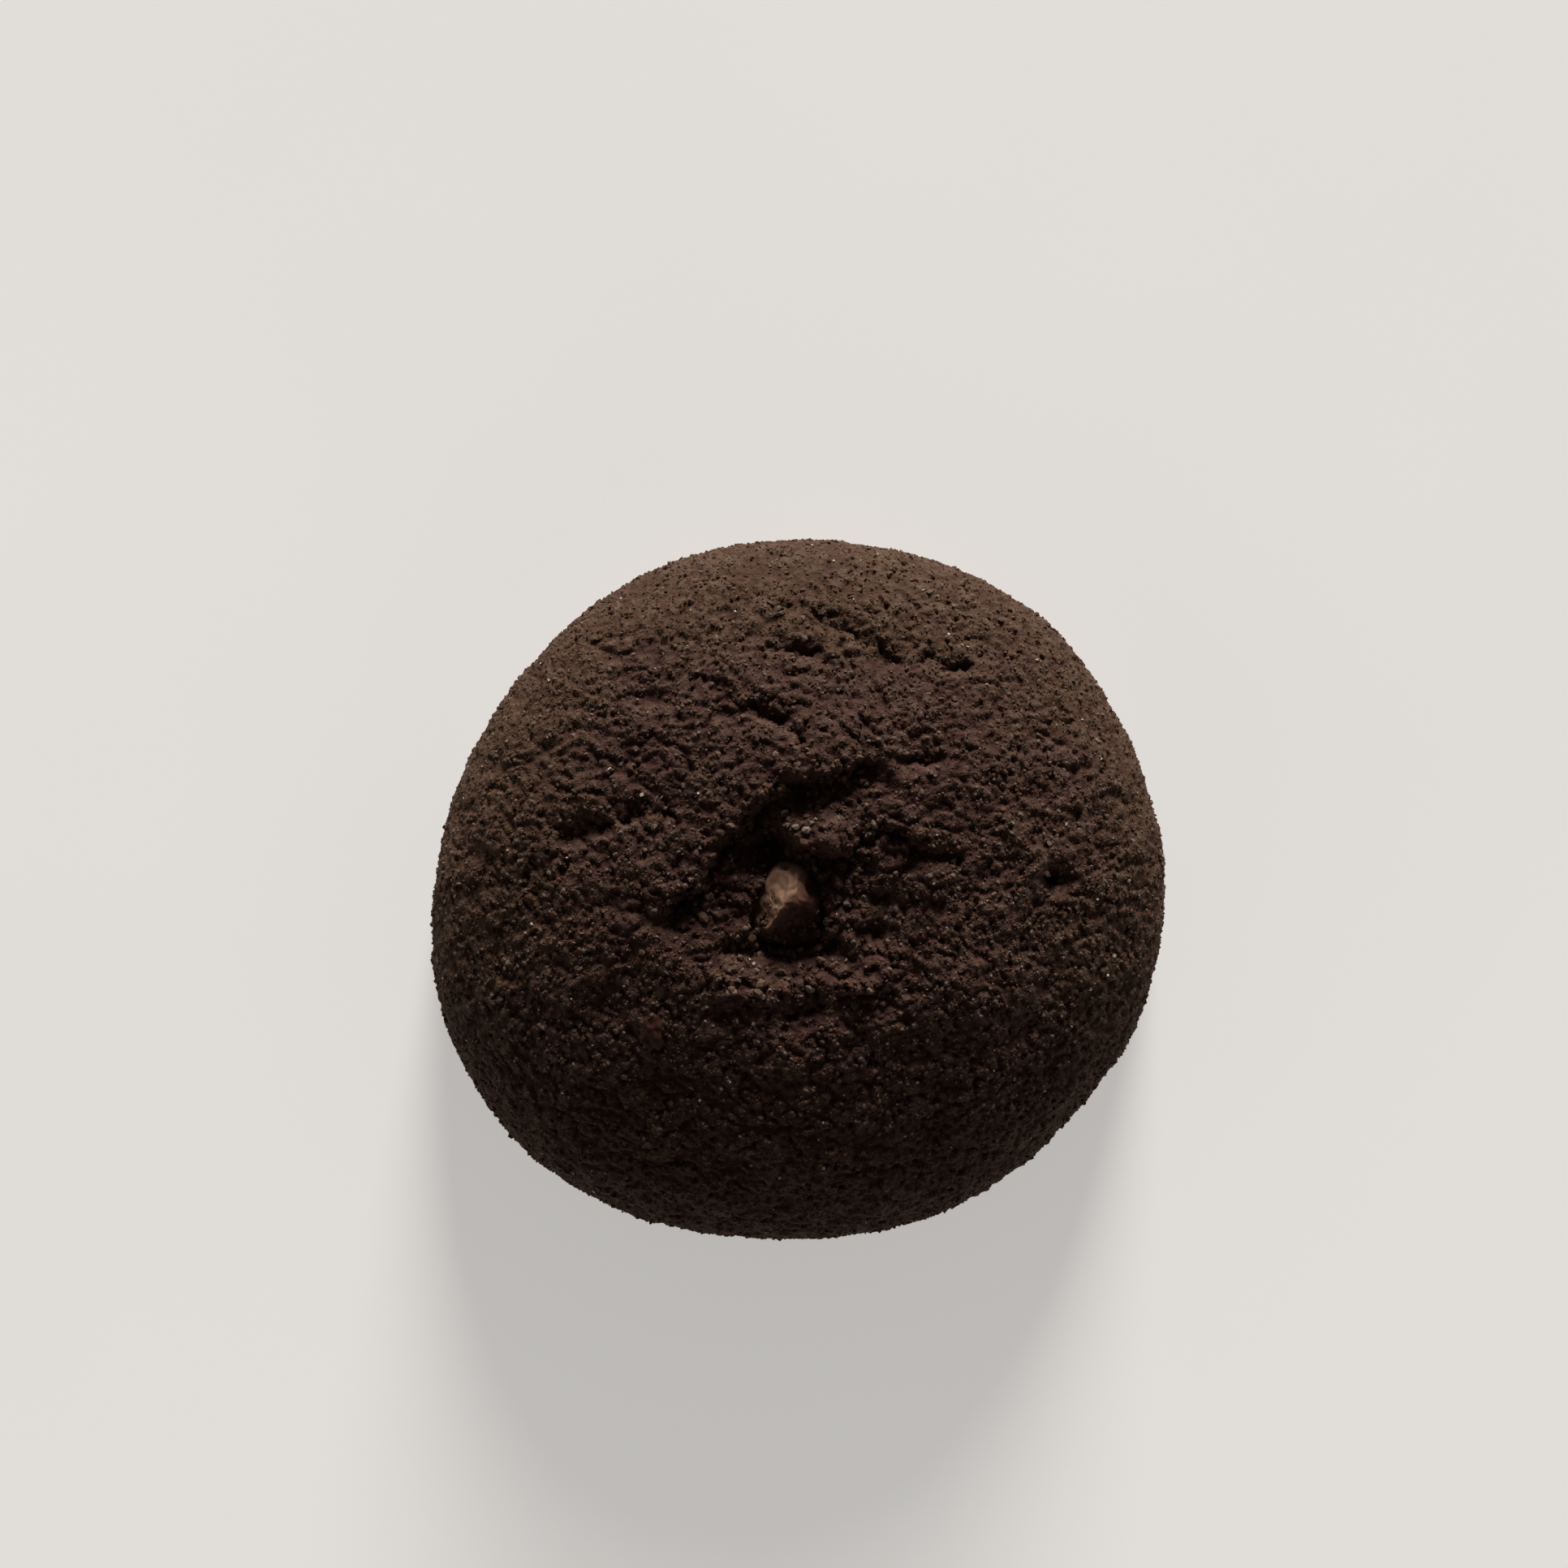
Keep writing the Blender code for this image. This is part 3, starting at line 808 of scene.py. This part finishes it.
def addNoise(tree, scale, detail, rough=0.55):
    place = tree.nodes.get("place") or addNode(tree, "ShaderNodeTexCoord", name="place")
    cloud = addNode(tree, "ShaderNodeTexNoise")
    cloud.inputs["Scale"].default_value = scale
    cloud.inputs["Detail"].default_value = detail
    cloud.inputs["Roughness"].default_value = rough
    tree.links.new(place.outputs["Object"], cloud.inputs["Vector"])
    return cloud.outputs["Fac"]


def readValue(tree, name):  # a value that was worked out for each point of the mesh
    return addNode(tree, "ShaderNodeAttribute", attribute_name=name).outputs["Fac"]


def calculate(tree, operation, first, second):
    node = addNode(tree, "ShaderNodeMath", operation=operation)
    for socket, value in zip(node.inputs, (first, second)):
        if isinstance(value, (int, float)):
            socket.default_value = value
        else:
            tree.links.new(value, socket)
    return node.outputs[0]


def colourRamp(tree, value, stops):
    node = addNode(tree, "ShaderNodeValToRGB")
    elements = node.color_ramp.elements
    while len(elements) < len(stops):
        elements.new(0.5)
    for element, (position, colour) in zip(elements, stops):
        element.position = position
        element.color = (*colour, 1.0)
    tree.links.new(value, node.inputs["Fac"])
    return node.outputs["Color"]


mixSockets = {"share": 0, "first": 6, "second": 7, "result": 2}   # where the mix node keeps its colours


def blendColours(tree, share, first, second):
    node = addNode(tree, "ShaderNodeMix", data_type="RGBA")
    node.inputs[mixSockets["share"]].default_value = share
    tree.links.new(first, node.inputs[mixSockets["first"]])
    tree.links.new(second, node.inputs[mixSockets["second"]])
    return node.outputs[mixSockets["result"]]


def addBump(tree, shader, height, strength, distance):
    bump = addNode(tree, "ShaderNodeBump")
    bump.inputs["Strength"].default_value = strength
    bump.inputs["Distance"].default_value = distance
    tree.links.new(height, bump.inputs["Height"])
    tree.links.new(bump.outputs["Normal"], shader.inputs["Normal"])


doughLook = {
    "crumb": (                   # from the pits to the palest crumbs
        (0.0, (0.031, 0.0056, 0.0022)),
        (0.26, (0.049, 0.0165, 0.0083)),
        (0.52, (0.074, 0.0395, 0.0240)),
        (0.95, (0.122, 0.0825, 0.0610)),
    ),
    "tint": (                    # plum to olive, in broad patches
        (0.25, (0.063, 0.0320, 0.0258)),
        (0.75, (0.077, 0.0475, 0.0250)),
    ),
    "tintShare": 0.36,
    "patchScale": 85.0,
    "grainScale": 2600.0,
    "grainPale": 0.7,            # how much paler the fine grain can make it
    "cellScale": 1750.0,
    "cellEdge": 4.0,             # how narrow the lines of painted shade between the cells are
    "cellLineShade": 0.22,
    "cellBend": 0.0004,
    "darker": 0.49,              # taken off the sum of all that
    "roughness": 0.72,           # its least; the fine grain adds up to the next value
    "roughAdded": 0.25,
    "specular": 0.22,
    "bump": 0.44,
    "bumpDistance": 0.00024,
    "cellBump": 0.45,
}


def makeDoughMaterial():
    look = doughLook
    material, tree, shader = newMaterial("baked dough", look)
    fine = addNoise(tree, look["grainScale"], detail=3.0, rough=0.6)
    patch = addNoise(tree, look["patchScale"], detail=2.0)
    bent = addNode(tree, "ShaderNodeVectorMath", operation="MULTIPLY_ADD")
    tree.links.new(fine.node.outputs["Color"], bent.inputs[0])
    bent.inputs[1].default_value = (look["cellBend"],) * 3
    tree.links.new(tree.nodes["place"].outputs["Object"], bent.inputs[2])
    cells = addNode(tree, "ShaderNodeTexVoronoi", feature="DISTANCE_TO_EDGE")
    cells.inputs["Scale"].default_value = look["cellScale"]
    tree.links.new(bent.outputs[0], cells.inputs["Vector"])
    inCell = calculate(tree, "MULTIPLY", cells.outputs["Distance"], look["cellEdge"])
    inCell = calculate(tree, "MINIMUM", inCell, 1.0)

    onGrains = calculate(tree, "MULTIPLY", fine, look["grainPale"])
    # painted shade along the lines between the cells
    onCells = calculate(tree, "MULTIPLY", inCell, look["cellLineShade"])
    lit = calculate(tree, "ADD", readValue(tree, "lit"), onGrains)
    lit = calculate(tree, "ADD", lit, onCells)
    lit = calculate(tree, "SUBTRACT", lit, look["darker"])
    olive = calculate(tree, "ADD", readValue(tree, "olive"), calculate(tree, "SUBTRACT", patch, 0.5))
    crumb = colourRamp(tree, lit, look["crumb"])
    tint = colourRamp(tree, olive, look["tint"])
    soft = blendColours(tree, look["tintShare"], crumb, tint)
    tree.links.new(soft, shader.inputs["Base Color"])

    rough = calculate(tree, "MULTIPLY", fine, look["roughAdded"])
    rough = calculate(tree, "ADD", rough, look["roughness"])
    tree.links.new(rough, shader.inputs["Roughness"])
    height = calculate(tree, "ADD", fine, calculate(tree, "MULTIPLY", inCell, look["cellBump"]))
    addBump(tree, shader, height, look["bump"], look["bumpDistance"])
    return material


grainLook = {
    "crumb": {
        "tones": (
            (0.0, (0.047, 0.0188, 0.0103)),
            (0.55, (0.076, 0.0418, 0.0260)),
            (1.0, (0.120, 0.0830, 0.0630)),
        ),
        "roughness": 0.85,
        "specular": 0.12,
    },
    "pale": {
        "tones": (
            (0.0, (0.11, 0.082, 0.060)),
            (1.0, (0.17, 0.135, 0.105)),
        ),
        "roughness": 0.5,
        "specular": 0.12,
    },
    "sugar": {
        "tones": (
            (0.0, (0.14, 0.10, 0.07)),
            (0.6, (0.24, 0.18, 0.14)),
            (1.0, (0.38, 0.31, 0.25)),
        ),
        "roughness": 0.35,
        "specular": 0.12,
    },
    "darker": -0.12,             # this and what follows hold for every kind
    "speckScale": 3200.0,
    "speck": 0.25,
    "bumpScale": 5200.0,
    "bump": 0.4,
    "bumpDistance": 0.0001,
}


def makeGrainMaterial(name, kind):
    look = grainLook[kind]
    material, tree, shader = newMaterial(name, look)
    speck = addNoise(tree, grainLook["speckScale"], detail=2.0)
    speck = calculate(tree, "MULTIPLY", speck, grainLook["speck"])
    tone = calculate(tree, "ADD", readValue(tree, "tone"), grainLook["darker"])
    tone = calculate(tree, "ADD", tone, speck)
    tree.links.new(colourRamp(tree, tone, look["tones"]), shader.inputs["Base Color"])
    height = addNoise(tree, grainLook["bumpScale"], detail=2.0)
    addBump(tree, shader, height, grainLook["bump"], grainLook["bumpDistance"])
    return material


chocolateLook = {
    "chunk": (                   # baked skin to pale broken side
        (0.18, (0.034, 0.0110, 0.0070)),
        (0.42, (0.088, 0.0395, 0.0255)),
        (0.66, (0.176, 0.0980, 0.0620)),
    ),
    # darker and redder tones: partly their own darker chocolate, partly painted shade
    "chips": (
        (0.18, (0.022, 0.0055, 0.0036)),
        (0.42, (0.041, 0.0130, 0.0084)),
        (0.66, (0.068, 0.0280, 0.0195)),
    ),
    "cloudScale": 420.0,
    "cloud": 0.8,
    "toneAndPaintedLight": 0.45,                # how far a point's tone, with its painted light and shade, moves along the tones
    "roughness": 0.72,
    "specular": 0.15,
    "bumpScale": 1900.0,
    "bump": 0.45,
    "bumpDistance": 0.0002,
}


def makeChocolateMaterial(name, tones):
    look = chocolateLook
    material, tree, shader = newMaterial(name, look)
    cloud = addNoise(tree, look["cloudScale"], detail=4.0)
    cloud = calculate(tree, "MULTIPLY", cloud, look["cloud"])
    toneAndPaintedLight = calculate(tree, "MULTIPLY", readValue(tree, "toneAndPaintedLight"), look["toneAndPaintedLight"])
    colour = colourRamp(tree, calculate(tree, "ADD", cloud, toneAndPaintedLight), look[tones])
    tree.links.new(colour, shader.inputs["Base Color"])
    height = addNoise(tree, look["bumpScale"], detail=3.0)
    addBump(tree, shader, height, look["bump"], look["bumpDistance"])
    return material


# all forms in mm, then fitted into the box of the solids

verts, faces, values = buildDough()
verts, values["lit"] = pressPocket(verts, values["lit"])
print("dough formed,", len(faces), "triangles")

chunkVerts, chunkFaces, toneAndPaintedLight = buildChunk(chunk["rows"], chunk["columns"], fine=1.0)
print("chunk formed,", len(chunkFaces), "triangles")

chipVerts, chipFaces, chipWorn = buildChips(verts, faces)
print("small chips formed,", len(chipFaces), "triangles")

lowOnChunk = smoothStep(*stuckCrumbs["below"], chunkVerts[:, 2])
lowOnChunk = lowOnChunk * smoothStep(*stuckCrumbs["ahead"], chunkVerts[:, 1])
onFlanks = stuckCrumbs["thick"] * lowOnChunk - anyGrain["everywhere"]
inTorn = looseCrumbs["thick"] * values["loose"] + looseCrumbs["elsewhere"]
scattered = {
    "crumbGrains": scatter(verts, faces, values["lit"], grains, icosahedron()),
    "chunkCrumbs": scatter(chunkVerts, chunkFaces, onFlanks, stuckCrumbs, icosahedron()),
    "looseCrumbs": scatter(verts, faces, inTorn, looseCrumbs, icosahedron()),
    "paleGrains": placeGrains(verts, faces, paleGrains, icosahedron()),
    "crumbFlecks": scatter(verts, faces, values["lit"], flecks, octahedron()),
    "sugarGrains": scatter(verts, faces, values["lit"], sugar, cube()),
}
print("grains scattered,", sum(len(part[1]) for part in scattered.values()), "triangles")


def fitInside(parts):  # scale and shift, in mm, that keep every piece inside the box of the solids
    together = np.vstack(parts)
    low, high = np.array(cadBox[0]) / mm, np.array(cadBox[1]) / mm
    scale = np.minimum(1.0, (high - low) / (together.max(0) - together.min(0)))
    shift = (low + high) / 2.0 - scale * (together.max(0) + together.min(0)) / 2.0
    return scale, shift


scale, shift = fitInside([verts, chunkVerts, chipVerts] + [part[0] for part in scattered.values()])
print("fitted into the solids' box by", np.round(scale, 4).tolist(), np.round(shift, 3).tolist())


def placed(points):  # mm to the metres of the frame
    return (points * scale + shift) * mm


doughMaterial = makeDoughMaterial()
doughPiece = makePiece("doughBody", placed(verts), faces, doughMaterial, values)
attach(doughPiece, "root")
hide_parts("cookie")

chocolate = makeChocolateMaterial("milk chocolate", "chunk")
chunkPiece = makePiece("milkChunk", placed(chunkVerts), chunkFaces, chocolate, {"toneAndPaintedLight": toneAndPaintedLight})
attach(chunkPiece, "root")
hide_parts("chocolate_chunk")

chipChocolate = makeChocolateMaterial("chip chocolate", "chips")
chipPiece = makePiece("smallChips", placed(chipVerts), chipFaces, chipChocolate, {"toneAndPaintedLight": chipWorn})
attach(chipPiece, "root")
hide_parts("cookie")

grainMaterials = {
    "crumbGrains": makeGrainMaterial("crumb grains", "crumb"),
    "chunkCrumbs": makeGrainMaterial("chunk crumbs", "crumb"),
    "looseCrumbs": makeGrainMaterial("loose crumbs", "crumb"),
    "paleGrains": makeGrainMaterial("pale grains", "pale"),
    "crumbFlecks": makeGrainMaterial("crumb flecks", "crumb"),
    "sugarGrains": makeGrainMaterial("sugar grains", "sugar"),
}
for name, (points, sides, tones) in scattered.items():
    piece = makePiece(name, placed(points), sides, grainMaterials[name], tones, smooth=False)
    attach(piece, "root")
    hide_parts("cookie")
print("pieces placed")


# table, light and camera

table = {
    "size": 6.0,                 # metres
    "gap": 0.00002,              # under the cookie
    "tones": (
        (0.3, (0.80, 0.79, 0.77)),
        (0.7, (0.84, 0.83, 0.81)),
    ),
    "cloudScale": 9.0,
    "roughness": 0.95,
    "specular": 0.0,
    "glow": 0.42,                # the table is a softly lit panel
    "glowTint": (1.0, 0.98, 0.95),
}


def makeTable():
    material, tree, shader = newMaterial("pale table", table)
    cloud = addNoise(tree, table["cloudScale"], detail=3.0)
    colour = colourRamp(tree, cloud, table["tones"])
    tree.links.new(colour, shader.inputs["Base Color"])
    shader.inputs["Emission Color"].default_value = (*table["glowTint"], 1.0)
    shader.inputs["Emission Strength"].default_value = table["glow"]
    half = table["size"] / 2.0
    corners = np.array([(-half, -half, 0.0), (half, -half, 0.0), (half, half, 0.0), (-half, half, 0.0)])
    top = makePiece("table", corners, np.array([(0, 1, 2, 3)]), material, {})
    top.location.z = cadBox[0][2] - table["gap"]


studio = {
    "keyDirection": 84.0,        # degrees round from +X: the light stands on the +Y side
    "keyHeight": 8.6,            # degrees above the table
    "keySoftness": 17.0,         # degrees across
    "keyStrength": 5.95,
    "keyTint": (1.0, 0.98, 0.96),
    "fill": (0.76, 0.04),        # strength of the even light all round, at the horizon and overhead
    "fillSpan": (0.05, 0.55),    # heights between which it goes from one to the other
    "fillTint": (1.0, 0.94, 0.89),
}


def makeKeyLight():
    around, above = math.radians(studio["keyDirection"]), math.radians(studio["keyHeight"])
    lamp = bpy.data.lights.new("key", "SUN")
    lamp.angle = math.radians(studio["keySoftness"])
    lamp.energy = studio["keyStrength"]
    lamp.color = studio["keyTint"]
    key = bpy.data.objects.new("key", lamp)
    key.location = Vector((
        math.cos(around) * math.cos(above),
        math.sin(around) * math.cos(above),
        math.sin(above),
    ))
    key.rotation_euler = (-key.location).to_track_quat("-Z", "Y").to_euler()
    bpy.context.scene.collection.objects.link(key)


def makeFillLight():
    world = bpy.data.worlds.new("studio")
    world.use_nodes = True
    tree = world.node_tree
    place = addNode(tree, "ShaderNodeTexCoord")
    parts = addNode(tree, "ShaderNodeSeparateXYZ")
    tree.links.new(place.outputs["Generated"], parts.inputs[0])
    stops = [
        (height, tuple(strength * tint for tint in studio["fillTint"]))
        for height, strength in zip(studio["fillSpan"], studio["fill"])
    ]
    sky = colourRamp(tree, parts.outputs["Z"], stops)
    tree.links.new(sky, tree.nodes["Background"].inputs["Color"])
    bpy.context.scene.world = world


view = {
    "lens": 46.1,                # mm, on a sensor of this width
    "sensor": 36.0,
    "place": (-1.47, 40.18, 204.99),    # mm
    "lean": 8.0,                 # degrees off straight down: it stands on the +Y side and looks back
    "nearest": 10.0,             # mm, nothing closer is drawn
}


def makeCamera():
    lens = bpy.data.cameras.new("camera")
    lens.lens = view["lens"]
    lens.sensor_width = view["sensor"]
    lens.clip_start = view["nearest"] * mm
    camera = bpy.data.objects.new("camera", lens)
    camera.location = [value * mm for value in view["place"]]
    camera.rotation_euler = (-math.radians(view["lean"]), 0.0, 0.0)
    bpy.context.scene.collection.objects.link(camera)
    bpy.context.scene.camera = camera


makeTable()
makeKeyLight()
makeFillLight()
makeCamera()
bpy.context.scene.view_settings.view_transform = "Standard"
print("table, light and camera set")
